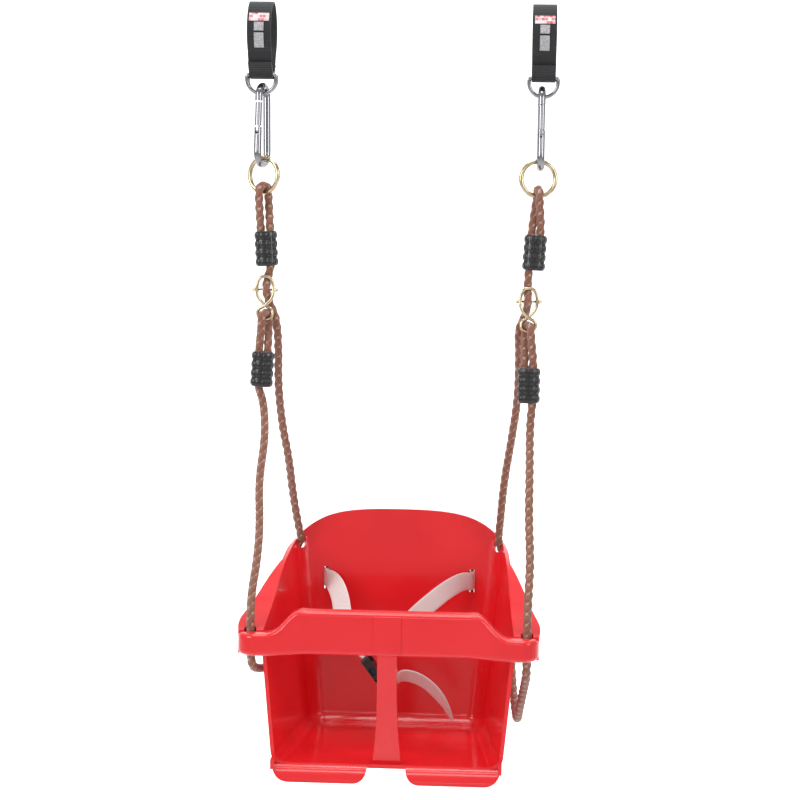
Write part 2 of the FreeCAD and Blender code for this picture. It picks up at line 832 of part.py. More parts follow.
def rim_plan():
    """The rim seen from above: the bar along the front and a flange that narrows up each side."""
    width = size("ear_half_width")
    front = size("bar_front_y")
    flange = 30.0
    waist = draft("tub_rear_low", "tub_rear_high", -570.0) + 5.5
    points = [(-waist, flange, 0), (-width, -100, 0), (-width + 6, front, 0)]
    points += [(-x, y, 0) for x, y, z in reversed(points)]
    wire, radii = rounded_wire(points, [0, 14, 16, 16, 14, 0])
    closing = Part.makePolygon([Vector(*points[-1]), Vector(0, flange, 0), Vector(*points[0])])
    plan = Part.Face(Part.Wire(wire.Edges + closing.Edges))
    plan.translate(Vector(0, 0, -665))
    return plan.extrude(Vector(0, 0, 130))


def bar_outline(inset):
    """The front bar and its ears in front view, with an S-curve down from the bar to each ear."""
    top = size("bar_top_z") - inset
    bottom = size("bar_bottom_z") + inset
    ear = size("ear_top_z") - inset
    end = size("ear_half_width") + 2 - inset
    step = size("slot_offset")
    points = [(-step, top), (-step - 12, top - 1.2), (-119, ear + 1.6), (-132, ear), (-end, ear - 1)]
    curve = Part.BSplineCurve()
    curve.interpolate([Vector(x, 0, z) for x, z in reversed(points)])
    left = curve.toShape()
    right = left.mirror(Vector(), Vector(1, 0, 0))
    low = [(-end, bottom - 3), (end, bottom - 3)]
    edges = [
        left,
        Part.makeLine((-step, 0, top), (step, 0, top)),
        right,
        Part.makeLine((end, 0, ear - 1), (end, 0, low[1][1])),
        Part.makeLine((end, 0, low[1][1]), (end - 40, 0, low[1][1])),
        Part.makeLine((end - 40, 0, low[1][1]), (step, 0, bottom)),
        Part.makeLine((step, 0, bottom), (-step, 0, bottom)),
        Part.makeLine((-step, 0, bottom), (-end + 40, 0, low[0][1])),
        Part.makeLine((-end + 40, 0, low[0][1]), (-end, 0, low[0][1])),
        Part.makeLine((-end, 0, low[0][1]), (-end, 0, ear - 1)),
    ]
    return Part.Face(Part.Wire(Part.__sortEdges__(edges)))


def bar_shape():
    """The front bar as a channel open to the rear, with the ears at its ends."""
    wall = size("seat_wall")
    front = size("bar_front_y")
    bar = bar_outline(0)
    bar.translate(Vector(0, front, 0))
    bar = bar.extrude(Vector(0, size("bar_depth"), 0)).common(rim_plan())
    # the moulded edges along the bar's front are round, above and below
    face_y = front + 0.01
    long_edges = [e for e in bar.Edges if e.BoundBox.YMax < face_y and e.BoundBox.XLength > 8]
    bar = bar.makeFillet(size("bar_round"), long_edges)
    # a plain band stands proud across the middle of the bar, where the post meets it
    half = size("band_half")
    margin = size("band_margin")
    band_height = size("bar_top_z") - size("bar_bottom_z") - 2 * margin
    corner = Vector(-half, front - size("band_proud"), size("bar_bottom_z") + margin)
    band = Part.makeBox(2 * half, size("band_depth"), band_height, corner)
    band = band.makeFillet(1.2, [e for e in band.Edges if e.BoundBox.YMax < front])
    hollow = bar_outline(wall)
    hollow.translate(Vector(0, front + wall, 0))
    hollow = hollow.extrude(Vector(0, size("bar_depth"), 0))
    keep = Part.makeBox(240, 60, 80, Vector(-120, front, -660))
    return bar.cut(hollow.common(keep)).fuse(band)


def flange_shape():
    """The flanges along both sides, from the ears back, before their tops are trimmed."""
    wall = size("seat_wall")
    ear = size("bar_bottom_z") - 3
    start = size("bar_front_y") + size("bar_depth") - 2
    side = [
        Vector(-200, start, ear),
        Vector(-200, -88, ear),
        Vector(-200, -40, -604),
        Vector(-200, 10, -576),
        Vector(-200, 96, -557),
        Vector(-200, 96, -540),
        Vector(-200, start, -540),
    ]
    band = Part.Face(Part.makePolygon(side + side[:1])).extrude(Vector(400, 0, 0))
    band = band.common(rim_plan())
    inside = Part.makeLoft([tub_section(-700, wall), tub_section(-500, wall)], True, True)
    return band.cut(inside)


def lip_shape():
    """The floor's front edge, rolled down over the child's knees in two lobes beside the post."""
    wall = size("seat_wall")
    floor = size("floor_z")
    low = size("lip_bottom_z")
    front = size("lip_front_y")
    rear, bend = Vector(0, -98, floor), Vector(0, -108, floor)
    run = [rear, bend, Vector(0, front, floor - 9), Vector(0, front, low)]
    # quarter-round over the edge, drawn as the outer line and its offset
    arc = Part.Arc(Vector(0, -108, floor), Vector(0, -121, floor - 5.5), Vector(0, front, floor - 14))
    inner_arc = Part.Arc(
        Vector(0, front + wall, floor - 15), Vector(0, -118.5, floor - 8.6), Vector(0, -108, floor - wall)
    )
    edges = [
        Part.makeLine(run[0], run[1]),
        arc.toShape(),
        Part.makeLine(Vector(0, front, floor - 14), run[3]),
        Part.makeLine(run[3], run[3] + Vector(0, wall, 0)),
        Part.makeLine(run[3] + Vector(0, wall, 0), Vector(0, front + wall, floor - 15)),
        inner_arc.toShape(),
        Part.makeLine(Vector(0, -108, floor - wall), Vector(0, -98, floor - wall)),
        Part.makeLine(Vector(0, -98, floor - wall), run[0]),
    ]
    width = draft("tub_front_low", "tub_front_high", floor)
    face = Part.Face(Part.Wire(edges))
    face.translate(Vector(-width, 0, 0))
    lip = face.extrude(Vector(2 * width, 0, 0))
    # each lobe in front view, with its lower corners rounded
    post = size("post_bottom_width") / 2
    lobes = None
    for side in (-1, 1):
        corners = [
            (side * post, 0, floor + 20),
            (side * (post + 7), 0, low),
            (side * (width - 4), 0, low),
            (side * (width + 2), 0, floor + 20),
        ]
        wire, radii = rounded_wire(corners, [0, 12, 15, 0])
        closing = Part.makeLine(corners[3], corners[0])
        lobe = Part.Face(Part.Wire(wire.Edges + [closing]))
        lobe.translate(Vector(0, -150, 0))
        lobe = lobe.extrude(Vector(0, 80, 0))
        lobes = lobe if lobes is None else lobes.fuse(lobe)
    # a return wall at each lobe's outer end carries the tub's side down to the lobe
    lip = lip.common(lobes)
    foot = low + size("cheek_lift")
    cheek_height = floor + size("cheek_margin") - foot
    for side in (-1, 1):
        cheek = Part.makeBox(wall, size("cheek_depth"), cheek_height, Vector(-wall / 2, front, foot))
        cheek.translate(Vector(side * (width - wall / 2 - 0.4), 0, 0))
        lip = lip.fuse(cheek)
    return lip


def post_shape():
    """The crotch post: a channel from the middle of the bar down to the floor between the lobes."""
    top = size("bar_bottom_z") + 10
    low = size("floor_z") - size("seat_wall")
    outer = [
        post_section(top, -133.0, size("post_top_width"), 0),
        post_section(-690, -124.0, size("post_top_width") + 0.5, 0),
        post_section(-735, -113.0, size("post_top_width") + 5, 0),
        post_section(low, -106.0, size("post_bottom_width"), 0),
    ]
    wall = size("seat_wall")
    inner = [
        post_section(top + 1, -133.0 + wall, size("post_top_width") - 2 * wall, 6),
        post_section(-690, -124.0 + wall, size("post_top_width") + 0.5 - 2 * wall, 6),
        post_section(-735, -113.0 + wall, size("post_top_width") + 5 - 2 * wall, 6),
        post_section(low - 1, -106.0 + wall, size("post_bottom_width") - 2 * wall, 6),
    ]
    return Part.makeLoft(outer, True, False).cut(Part.makeLoft(inner, True, False))


def post_section(z, front, width, extra):
    depth = 17.0 + extra
    half = width / 2
    points = [(-half, front), (half, front), (half, front + depth), (-half, front + depth)]
    corners = [Vector(x, y, z) for x, y in points]
    return Part.makePolygon(corners + corners[:1])


def hole_along(start, end, radius):
    """A drilled hole with the slope of the rope that passes through it."""
    start, end = Vector(*start), Vector(*end)
    along = (end - start).normalize()
    return Part.makeCylinder(radius, (end - start).Length + 24, start - along * 12, along)


def make_seat():
    sides = tub_shape().fuse(flange_shape()).cut(above_sides())
    shell = sides.fuse([lip_shape(), bar_shape(), post_shape()])
    radius = size("rope_diameter") / 2 + size("rope_hole_clearance")
    for side in (-1, 1):
        run = SEAT_RUNS[side]
        # the rope is foremost just above the ear, which the run before that point passes through
        ear = min(range(len(run)), key=lambda i: run[i][1]) - 1
        for i in (REAR_HOLE[side], ear):
            shell = shell.cut(hole_along(run[i], run[i + 1], radius))
        slot = Part.makeBox(size("slot_width"), 40, size("slot_height"))
        corner = Vector(side * size("slot_offset") - size("slot_width") / 2, 80, size("slot_z"))
        slot.translate(corner - Vector(0, 0, size("slot_height") / 2))
        shell = shell.cut(slot)
    place = Placement(Vector(0, size("seat_shift"), 0), Rotation())
    feature("seat_shell", shell.removeSplitter(), place)


# ---- harness -----------------------------------------------------------------------------------


def webbing(sections):
    """A flat strap through its sections, each a centre and the direction of the strap's width."""
    half_width = size("belt_width") / 2
    half_thick = size("belt_thickness") / 2
    centres = [Vector(*centre) for centre, across in sections]
    outlines = []
    for i, (centre, across) in enumerate(sections):
        along = centres[min(i + 1, len(centres) - 1)] - centres[max(i - 1, 0)]
        side = Vector(*across).normalize() * half_width
        face = along.cross(side).normalize() * half_thick
        middle = centres[i]
        corners = [middle + side + face, middle - side + face, middle - side - face, middle + side - face]
        outlines.append(Part.makePolygon(corners + corners[:1]))
    strap = Part.makeLoft(outlines, True, True)
    if strap.Volume < 0:
        strap.reverse()
    return strap


def eye(bar_radius, length):
    """The sewn eye of a belt round a bar along Z, centred on the origin."""
    inner = bar_radius + 0.2
    outer = inner + size("belt_thickness")
    ring = Part.makeCylinder(outer, length, Vector(0, 0, -length / 2))
    return ring.cut(Part.makeCylinder(inner, length, Vector(0, 0, -length / 2)))


STOP_RADIUS = 2.0


def stop_place(side):
    """The stop pin stands upright just behind the slot in the seat's back."""
    back = draft("tub_back_low", "tub_back_high", size("slot_z"))
    reach = STOP_RADIUS + 0.2 + size("belt_thickness")
    return Vector(side * size("slot_offset"), back + reach + 0.3, size("slot_z"))


def make_belt_stop(side):
    pin = doc.addObject("Part::Cylinder", side_name(side) + "_stop")
    pin.Radius = STOP_RADIUS
    pin.setExpression("Height", "Sizes.slot_height + 3")
    middle = stop_place(side)
    shift = Vector(0, size("seat_shift"), -(size("slot_height") + 3) / 2)
    pin.Placement = Placement(middle + shift, Rotation())
    add(pin, side_name(side) + "_belt_stop")


# the buckle's own frame: X from the socket's bar to the plug's bar, Y across, Z through it
BUCKLE_END = Vector(-30.0, -12.0, -666.0)
BUCKLE_ALONG = Vector(0.6, -0.1, -0.79)
BAR_RADIUS = 1.5
SOCKET_BAR = 1.7
PLUG_BAR = 43.3


def buckle_rotation():
    along = Vector(BUCKLE_ALONG).normalize()
    through = Vector(0.79, 0, 0.6)
    return Rotation(along, Vector(), through, "XZY")


def buckle_placement():
    return Placement(BUCKLE_END + Vector(0, size("seat_shift"), 0), buckle_rotation())


def buckle_point(x, y=0.0, z=0.0):
    point = Placement(BUCKLE_END, buckle_rotation()).multVec(Vector(x, y, z))
    return (point.x, point.y, point.z)


def box_centred(x_from, x_to, half_y, half_z, y_middle=0.0):
    corner = Vector(x_from, y_middle - half_y, -half_z)
    return Part.makeBox(x_to - x_from, 2 * half_y, 2 * half_z, corner)


def cross_bar(x):
    width = size("buckle_width") - 2
    return Part.makeCylinder(BAR_RADIUS, width, Vector(x, -width / 2, 0), Vector(0, 1, 0))


def make_buckle():
    half_width = size("buckle_width") / 2
    half_thick = size("buckle_thickness") / 2
    length = size("socket_length")
    belt_half = size("belt_width") / 2 + 0.6
    block = box_centred(0, length, half_width, half_thick)
    upright = [e for e in block.Edges if e.BoundBox.ZLength > 2 * half_thick - 0.1]
    block = block.makeFillet(2.5, upright)
    socket = block.cut(box_centred(-1, 8.0, belt_half, half_thick + 1)).fuse(cross_bar(SOCKET_BAR))
    socket = socket.cut(box_centred(9.5, length + 1, half_width - 2.0, half_thick - 1.6))
    socket = socket.cut(box_centred(12.5, 21.0, half_width + 1, half_thick - 1.6))
    feature("buckle_socket", socket.removeSplitter(), buckle_placement())

    start = length + 0.3
    end = start + size("plug_length") + 2.7
    body = box_centred(start, end, half_width, half_thick - 0.2)
    upright = [e for e in body.Edges if e.BoundBox.ZLength > 2 * half_thick - 1]
    body = body.makeFillet(2.5, upright)
    plug = body.cut(box_centred(start + 4.5, end + 1, belt_half, half_thick + 1))
    plug = plug.fuse([cross_bar(start + 10.0), cross_bar(PLUG_BAR)])
    tongue_half = half_thick - 2.0
    plug = plug.fuse(box_centred(11.0, start + 1, 1.8, tongue_half))
    for across in (-1, 1):
        arm = box_centred(11.0, start + 1, 1.3, tongue_half, across * 7.4)
        catch = box_centred(13.5, 20.0, 1.6, tongue_half, across * 9.6)
        plug = plug.fuse([arm, catch])
    feature("buckle_plug", plug.removeSplitter(), buckle_placement())


def belt_end(x):
    """The eye of a belt on one of the buckle's bars."""
    ring = eye(BAR_RADIUS, size("belt_width"))
    ring.Placement = Placement(Vector(x, 0, 0), Rotation(Vector(1, 0, 0), 90))
    turned = ring.copy()
    turned.Placement = Placement(BUCKLE_END, buckle_rotation()).multiply(ring.Placement)
    return turned


def belt_start(side):
    """The eye of a belt on its stop pin behind the seat's back."""
    ring = eye(STOP_RADIUS, size("belt_width"))
    ring.translate(stop_place(side))
    return ring


def make_belts():
    across = tuple(buckle_rotation().multVec(Vector(0, 1, 0)))
    shift = Placement(Vector(0, size("seat_shift"), 0), Rotation())
    rim = STOP_RADIUS + 0.2 + size("belt_thickness") / 2
    left_stop, right_stop = stop_place(-1), stop_place(1)
    left = [
        ((left_stop.x, left_stop.y - rim, left_stop.z), (0, 0, 1)),
        ((left_stop.x, left_stop.y - 9.5, left_stop.z), (0, 0, 1)),
        ((-76.0, 82.0, -598.5), (0.45, 0.1, 0.9)),
        ((-69.0, 68.0, -603.5), (0.85, 0.1, 0.5)),
        ((-63.0, 52.0, -614.0), (0.97, 0.0, 0.2)),
        ((-58.5, 35.0, -628.0), (1, 0, 0)),
        ((-51.0, 14.0, -645.0), (0.95, 0.3, 0)),
        ((-41.0, -3.0, -657.0), (0.5, 0.86, 0)),
        (buckle_point(SOCKET_BAR - BAR_RADIUS - 1.0), across),
    ]
    left_belt = webbing(left).fuse([belt_start(-1), belt_end(SOCKET_BAR)]).removeSplitter()
    feature("left_belt", left_belt, shift)
    right = [
        ((right_stop.x, right_stop.y - rim, right_stop.z), (0, 0, -1)),
        ((right_stop.x, right_stop.y - 9.5, right_stop.z), (0, 0, -1)),
        ((72.0, 81.0, -597.0), (0.2, 0, -0.98)),
        ((57.0, 68.0, -603.0), (0.45, 0, -0.9)),
        ((40.0, 52.0, -614.0), (0.62, 0, -0.78)),
        ((21.0, 35.0, -629.0), (0.66, 0.1, -0.75)),
        ((4.0, 20.0, -645.0), (0.66, 0.4, -0.6)),
        ((-8.0, 8.0, -659.0), (0.4, 0.85, -0.3)),
        (buckle_point(17.0, 0, 9.5), across),
        (buckle_point(32.0, 0, 8.0), across),
        (buckle_point(PLUG_BAR - 3.2, 0, 3.6), across),
        (buckle_point(PLUG_BAR - 2.5, 0, 1.0), across),
    ]
    tail = [
        (buckle_point(PLUG_BAR + 2.75, 0, -0.4), across),
        (buckle_point(PLUG_BAR + 2.9, 0, 5.0), across),
        ((9.0, -21.0, -690.0), (0.1, 0.95, -0.25)),
        ((19.0, -26.0, -683.5), (0.15, 0.88, -0.45)),
        ((32.0, -31.0, -684.0), (0, 0.82, -0.57)),
        ((46.0, -35.0, -693.0), (-0.3, 0.75, -0.6)),
        ((57.0, -36.0, -706.0), (-0.62, 0.6, -0.5)),
        ((66.0, -35.0, -722.0), (-0.8, 0.45, -0.4)),
    ]
    pieces = [webbing(tail), belt_start(1), belt_end(PLUG_BAR)]
    right_belt = webbing(right).fuse(pieces).removeSplitter()
    feature("right_belt", right_belt, shift)


# ---- building and writing ----------------------------------------------------------------------


def build():
    for side in (-1, 1):
        make_strap(side)
        make_patch(side)
        for front in (-1, 1):
            make_dring(side, front)
        make_hook(side)
        make_gate(side)
        make_gate_pin(side)
        make_gate_spring(side)
        make_ring(side)
        for level in ("upper", "lower"):
            make_bead(side, level)
            make_ferrule(side, level)
        make_adjuster(side)
        make_rope(side)
        make_belt_stop(side)
    make_seat()
    make_buckle()
    make_belts()
    doc.recompute()


def check():
    """Stop before anything is written if any object failed."""
    for obj in doc.Objects:
        if "Invalid" in obj.State or "Error" in obj.State:
            raise ValueError(f"{obj.Label}: {obj.State}")
    for obj in sub_parts:
        if obj.Shape.isNull() or not obj.Shape.isValid():
            raise ValueError(f"{obj.Label}: its shape isn't valid")


build()
check()
os.makedirs("parts", exist_ok=True)
for part in sub_parts:
    part.Shape.exportStep(f"parts/{part.Label}.step")
    print(f"{part.Label}: {part.Shape.Volume:.0f} mm3, {len(part.Shape.Solids)} solid")
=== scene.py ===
"""Toddler bucket swing: a moulded seat on two adjustable ropes, hung by hooks and straps from a beam."""

import math

import bmesh
import bpy
from mathutils import Matrix, Vector


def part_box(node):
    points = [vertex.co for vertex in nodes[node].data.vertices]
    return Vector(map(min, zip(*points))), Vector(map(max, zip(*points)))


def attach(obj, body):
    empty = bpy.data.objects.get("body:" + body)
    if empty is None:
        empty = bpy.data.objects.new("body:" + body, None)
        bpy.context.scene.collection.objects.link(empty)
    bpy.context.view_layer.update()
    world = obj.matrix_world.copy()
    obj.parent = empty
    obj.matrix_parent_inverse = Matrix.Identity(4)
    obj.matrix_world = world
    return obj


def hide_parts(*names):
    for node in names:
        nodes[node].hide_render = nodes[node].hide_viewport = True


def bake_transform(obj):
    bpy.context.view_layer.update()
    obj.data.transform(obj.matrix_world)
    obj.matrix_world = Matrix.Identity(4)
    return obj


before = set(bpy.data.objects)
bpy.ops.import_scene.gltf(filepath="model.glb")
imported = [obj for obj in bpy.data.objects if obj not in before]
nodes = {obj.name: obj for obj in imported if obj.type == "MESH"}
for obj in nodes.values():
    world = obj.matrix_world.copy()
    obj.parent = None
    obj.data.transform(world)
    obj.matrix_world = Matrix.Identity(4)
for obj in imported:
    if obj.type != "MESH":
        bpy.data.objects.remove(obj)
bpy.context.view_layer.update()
sides = {"left": -1, "right": 1}

# ---- camera ------------------------------------------------------------------------------------
# The camera stands a little to the right of the swing's middle and just above half its height,
# far enough away that the ropes look nearly parallel. It leans by about one degree.

camera_place = Vector((0.1151, -2.1970, -0.204))
camera_target = Vector((0.003, 0.0, -0.387))
camera_roll = math.radians(0.9)
camera_data = bpy.data.cameras.new("camera")
camera_data.sensor_width = 36.0
camera_data.lens = 93.06
camera_data.clip_end = 50.0
camera = bpy.data.objects.new("camera", camera_data)
bpy.context.collection.objects.link(camera)
look = (camera_target - camera_place).to_track_quat("-Z", "Y").to_matrix().to_4x4()
camera.matrix_world = Matrix.Translation(camera_place) @ look @ Matrix.Rotation(camera_roll, 4, "Z")
bpy.context.scene.camera = camera

# ---- ropes -------------------------------------------------------------------------------------
# One plaited rope a side, of shiny brown fibre, with painted shade in its grooves and painted cream
# highlights along its strands. It starts in the upper bead, turns over the ring and comes back
# through the bead, then through the adjuster to the seat's rear hole, under the seat, up through the
# ear and round the adjuster's eye to end in the lower bead.

rope_diameter = 0.009
plait_height = 0.0105
plait_columns = 2
# radius in the grooves and on the crowns, as shares of the rope's own
plait_root = 0.82
plait_crown = 1.06
# how steeply a strand rounds over, and how high it still is where it dips under the next
plait_fullness = 0.8
plait_dip = 0.3
rope_step = 0.0014
rope_sides = 32
rope_routes = {
    "left": [
        (-0.1462, 0.0000, -0.2373),
        (-0.1485, 0.0000, -0.2023),
        (-0.1497, -0.0074, -0.1751),
        (-0.1492, -0.0067, -0.1611),
        (-0.1416, 0.0067, -0.1611),
        (-0.1411, 0.0074, -0.1751),
        (-0.1385, 0.0000, -0.2018),
        (-0.1363, 0.0000, -0.2447),
        (-0.1408, 0.0049, -0.2592),
        (-0.1419, -0.0052, -0.2720),
        (-0.1384, 0.0108, -0.2887),
        (-0.1319, 0.0110, -0.3017),
        (-0.1300, 0.0195, -0.3300),
        (-0.1304, 0.0230, -0.3760),
        (-0.1275, 0.0410, -0.4200),
        (-0.1215, 0.0585, -0.4580),
        (-0.1185, 0.0760, -0.5000),
        (-0.1135, 0.0925, -0.5380),
        (-0.1100, 0.0980, -0.5540),
        (-0.1175, 0.1090, -0.5670),
        (-0.1215, 0.1140, -0.5880),
        (-0.1230, 0.1020, -0.6220),
        (-0.1240, 0.0660, -0.6550),
        (-0.1265, 0.0100, -0.6720),
        (-0.1330, -0.0400, -0.6720),
        (-0.1390, -0.0820, -0.6640),
        (-0.1420, -0.1025, -0.6540),
        (-0.1423, -0.1050, -0.6090),
        (-0.1432, -0.0930, -0.5840),
        (-0.1395, -0.0725, -0.5490),
        (-0.1395, -0.0540, -0.5160),
        (-0.1435, -0.0355, -0.4720),
        (-0.1390, -0.0170, -0.4290),
        (-0.1430, 0.0005, -0.3920),
        (-0.1499, -0.0060, -0.3729),
        (-0.1477, -0.0060, -0.3310),
        (-0.1453, -0.0102, -0.3093),
        (-0.1453, -0.0102, -0.2966),
        (-0.1389, 0.0032, -0.2966),
        (-0.1389, 0.0032, -0.3093),
        (-0.1383, -0.0060, -0.3315),
        (-0.1401, -0.0060, -0.3654),
    ],
    "right": [
        (0.1473, 0.0000, -0.2373),
        (0.1496, 0.0000, -0.2023),
        (0.1469, -0.0085, -0.1751),
        (0.1467, -0.0076, -0.1611),
        (0.1441, 0.0076, -0.1611),
        (0.1439, 0.0085, -0.1751),
        (0.1396, 0.0000, -0.2018),
        (0.1374, 0.0000, -0.2447),
        (0.1364, 0.0049, -0.2672),
        (0.1375, -0.0052, -0.2800),
        (0.1340, 0.0108, -0.2967),
        (0.1275, 0.0110, -0.3097),
        (0.1290, 0.0220, -0.3320),
        (0.1290, 0.0265, -0.3840),
        (0.1225, 0.0470, -0.4340),
        (0.1155, 0.0685, -0.4810),
        (0.1125, 0.0880, -0.5260),
        (0.1100, 0.0980, -0.5540),
        (0.1175, 0.1090, -0.5670),
        (0.1220, 0.1150, -0.5920),
        (0.1245, 0.1080, -0.6300),
        (0.1270, 0.0840, -0.6760),
        (0.1310, 0.0440, -0.7180),
        (0.1345, 0.0000, -0.7330),
        (0.1365, -0.0340, -0.7120),
        (0.1405, -0.0680, -0.6810),
        (0.1430, -0.1005, -0.6580),
        (0.1422, -0.1050, -0.6090),
        (0.1428, -0.0930, -0.5840),
        (0.1446, -0.0700, -0.5460),
        (0.1422, -0.0480, -0.5060),
        (0.1424, -0.0240, -0.4560),
        (0.1418, -0.0020, -0.4120),
        (0.1443, -0.0060, -0.3853),
        (0.1443, -0.0060, -0.3433),
        (0.1409, -0.0102, -0.3172),
        (0.1409, -0.0102, -0.3046),
        (0.1345, 0.0032, -0.3046),
        (0.1345, 0.0032, -0.3172),
        (0.1349, -0.0060, -0.3433),
        (0.1349, -0.0060, -0.3773),
    ],
}


def route_line(name, points):
    """The points of the smooth line through a route, and its length."""
    curve = bpy.data.curves.new(name, "CURVE")
    curve.dimensions = "3D"
    spline = curve.splines.new("NURBS")
    spline.points.add(len(points) - 1)
    for target, point in zip(spline.points, points):
        target.co = (*point, 1.0)
    spline.order_u = 3
    spline.use_endpoint_u = True
    spline.resolution_u = 24
    holder = bpy.data.objects.new(name, curve)
    bpy.context.collection.objects.link(holder)
    bpy.context.view_layer.update()
    line = bpy.data.meshes.new_from_object(holder)
    places = [v.co.copy() for v in line.vertices]
    bpy.data.objects.remove(holder)
    bpy.data.meshes.remove(line)
    return places, sum((b - a).length for a, b in zip(places, places[1:]))


def even_steps(places, step):
    """Points at equal steps along a line."""
    found = [places[0].copy()]
    left_over = step
    for a, b in zip(places, places[1:]):
        run = (b - a).length
        travelled = left_over
        while travelled <= run:
            found.append(a.lerp(b, travelled / run))
            travelled += step
        left_over = travelled - run
    return found


def plait(around, along):
    """Height of the plait, 0 in a groove to 1 on a strand, at a share of a turn and a distance."""
    rising = plait_columns * around + along / plait_height
    falling = plait_columns * around - along / plait_height
    over = (math.floor(rising) + math.floor(falling)) % 2 == 0
    width, length = (rising % 1.0, falling % 1.0) if over else (falling % 1.0, rising % 1.0)
    rise = plait_dip + (1 - plait_dip) * math.sin(math.pi * length)
    return math.sin(math.pi * width) ** plait_fullness * rise


def make_rope(name, points):
    """A rope along a route, with the line it follows and the line's length."""
    places, length = route_line(name + "_line", points)
    steps = even_steps(places, rope_step)
    mesh = bpy.data.meshes.new(name)
    work = bmesh.new()
    crown = work.verts.layers.float.new("crown")
    uv = work.loops.layers.uv.new("along")
    normal = Vector((0, 1, 0))
    rings = []
    for i, place in enumerate(steps):
        ahead = steps[min(i + 1, len(steps) - 1)] - steps[max(i - 1, 0)]
        tangent = ahead.normalized()
        normal = (normal - tangent * normal.dot(tangent)).normalized()
        across = tangent.cross(normal)
        ring = []
        for j in range(rope_sides):
            angle = 2 * math.pi * j / rope_sides
            height = plait(j / rope_sides, i * rope_step)
            out = normal * math.cos(angle) + across * math.sin(angle)
            share = plait_root + (plait_crown - plait_root) * height
            vert = work.verts.new(place + out * rope_diameter / 2 * share)
            vert[crown] = height
            ring.append(vert)
        rings.append(ring)
    for i in range(len(rings) - 1):
        for j in range(rope_sides):
            k = (j + 1) % rope_sides
            face = work.faces.new((rings[i][j], rings[i][k], rings[i + 1][k], rings[i + 1][j]))
            face.smooth = True
            around = (j, j + 1, j + 1, j)
            down = (i, i, i + 1, i + 1)
            for loop, u, v in zip(face.loops, around, down):
                loop[uv].uv = (u / rope_sides, v * rope_step / plait_height)
    work.faces.new(list(reversed(rings[0])))
    work.faces.new(rings[-1])
    work.normal_update()
    work.to_mesh(mesh)
    work.free()
    rope = bpy.data.objects.new(name, mesh)
    bpy.context.collection.objects.link(rope)
    return rope, [tuple(p) for p in steps[:-1:3]] + [tuple(steps[-1])], length


def new_material(name, roughness=0.5, metallic=0.0, base=(0.8, 0.8, 0.8)):
    """A material with its shader, ready for the nodes of one finish."""
    material = bpy.data.materials.new(name)
    material.use_nodes = True
    shader = material.node_tree.nodes["Principled BSDF"]
    shader.inputs["Roughness"].default_value = roughness
    shader.inputs["Metallic"].default_value = metallic
    shader.inputs["Base Color"].default_value = (*base, 1.0)
    return material, shader


def ramp(material, source, stops):
    """A colour ramp on a value, from its list of places and colours."""
    node = material.node_tree.nodes.new("ShaderNodeValToRGB")
    elements = node.color_ramp.elements
    while len(elements) < len(stops):
        elements.new(0.5)
    for element, (place, colour) in zip(elements, stops):
        element.position = place
        element.color = (*colour, 1.0)
    material.node_tree.links.new(source, node.inputs["Fac"])
    return node.outputs["Color"]


def add_bump(material, shader, source, distance, strength):
    """Raises the surface by a texture's value, up to a distance."""
    node = material.node_tree.nodes.new("ShaderNodeBump")
    node.inputs["Strength"].default_value = strength
    node.inputs["Distance"].default_value = distance
    material.node_tree.links.new(source, node.inputs["Height"])
    material.node_tree.links.new(node.outputs["Normal"], shader.inputs["Normal"])


def add_texture(material, kind, vector, **settings):
    """A procedural texture read on the given coordinates."""
    node = material.node_tree.nodes.new(kind)
    for key, value in settings.items():
        if key in node.inputs:
            node.inputs[key].default_value = value
        else:
            setattr(node, key, value)
    material.node_tree.links.new(vector, node.inputs["Vector"])
    return node


def coordinates(material, kind="Object", scale=(1, 1, 1)):
    """Object or UV coordinates, stretched by a scale."""
    where = material.node_tree.nodes.new("ShaderNodeTexCoord")
    stretch = material.node_tree.nodes.new("ShaderNodeMapping")
    stretch.inputs["Scale"].default_value = scale
    material.node_tree.links.new(where.outputs[kind], stretch.inputs["Vector"])
    return stretch.outputs["Vector"]


def math_node(material, operation, first, second):
    """One sum on two values, each a number or another node's output."""
    node = material.node_tree.nodes.new("ShaderNodeMath")
    node.operation = operation
    for i, value in enumerate((first, second)):
        if isinstance(value, (int, float)):
            node.inputs[i].default_value = value
        else:
            material.node_tree.links.new(value, node.inputs[i])
    return node.outputs["Value"]


def paint(piece, material):
    """Gives a piece its one material."""
    piece.data.materials.clear()
    piece.data.materials.append(material)
    for polygon in piece.data.polygons:
        polygon.material_index = 0


# painted shade, dark, in the grooves, a painted cream highlight along the edge of each strand, and brown
# over its crown
rope_fibre, shader = new_material("rope_fibre", roughness=0.42)
shader.inputs["Sheen Weight"].default_value = 0.25
shader.inputs["Specular IOR Level"].default_value = 0.6
height = rope_fibre.node_tree.nodes.new("ShaderNodeAttribute")
height.attribute_name = "crown"
fibre_uv = coordinates(rope_fibre, "UV", (36.0, 12.0, 1.0))
fibre = add_texture(rope_fibre, "ShaderNodeTexWave", fibre_uv, bands_direction="DIAGONAL", Scale=0.6)
fibre.inputs["Distortion"].default_value = 1.2
spots = add_texture(rope_fibre, "ShaderNodeTexNoise", coordinates(rope_fibre), Scale=420.0)
mixed = math_node(rope_fibre, "MULTIPLY", fibre.outputs["Fac"], 0.22)
mixed = math_node(rope_fibre, "ADD", mixed, math_node(rope_fibre, "MULTIPLY", spots.outputs["Fac"], 0.3))
mixed = math_node(rope_fibre, "ADD", mixed, math_node(rope_fibre, "MULTIPLY", height.outputs["Fac"], 0.6))
rope_colour_with_painted_light = ramp(
    rope_fibre,
    mixed,
    [
        # painted shade in the grooves, then painted cream highlights, then the brown of the crowns
        (0.04, (0.050, 0.014, 0.008)),
        (0.15, (0.90, 0.76, 0.56)),
        (0.27, (0.84, 0.66, 0.46)),
        (0.38, (0.22, 0.068, 0.036)),
        (0.95, (0.34, 0.115, 0.060)),
    ],
)
